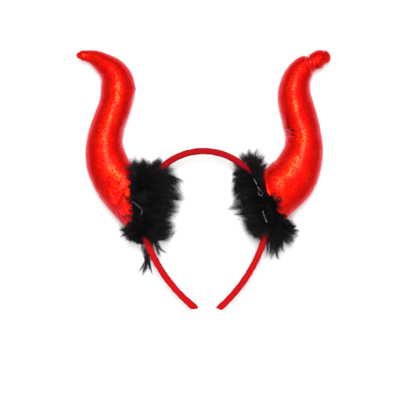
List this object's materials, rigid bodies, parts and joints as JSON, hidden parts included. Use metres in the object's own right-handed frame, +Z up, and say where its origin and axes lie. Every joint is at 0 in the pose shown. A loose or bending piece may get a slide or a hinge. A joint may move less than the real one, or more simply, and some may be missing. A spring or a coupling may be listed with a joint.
{
  "type": "costume horn headband",
  "caption": "Fabric-covered hair band with curved stuffed horns of shiny red fabric, each set in a muff of black down feathers.",
  "frame": {"origin": "middle of the bounding box's base, on the surface that the headband lies on", "axes": "+Z up from the surface, +Y from the band's tips to its crown and on to the horns' tips, +X to the wearer's left side, which is the right of the picture"},
  "size_m": [0.2398, 0.2506, 0.0657],
  "materials": {
    "band_cloth": "red velvety cloth, matt",
    "metallic_fabric": "shiny foil-printed red fabric",
    "down_feathers": "soft black down, matt"
  },
  "bodies": {
    "root": {"headband": "band_cloth", "horn_left": "metallic_fabric", "horn_right": "metallic_fabric", "feather_muff_left": "down_feathers", "feather_muff_right": "down_feathers"}
  },
  "joints": []
}
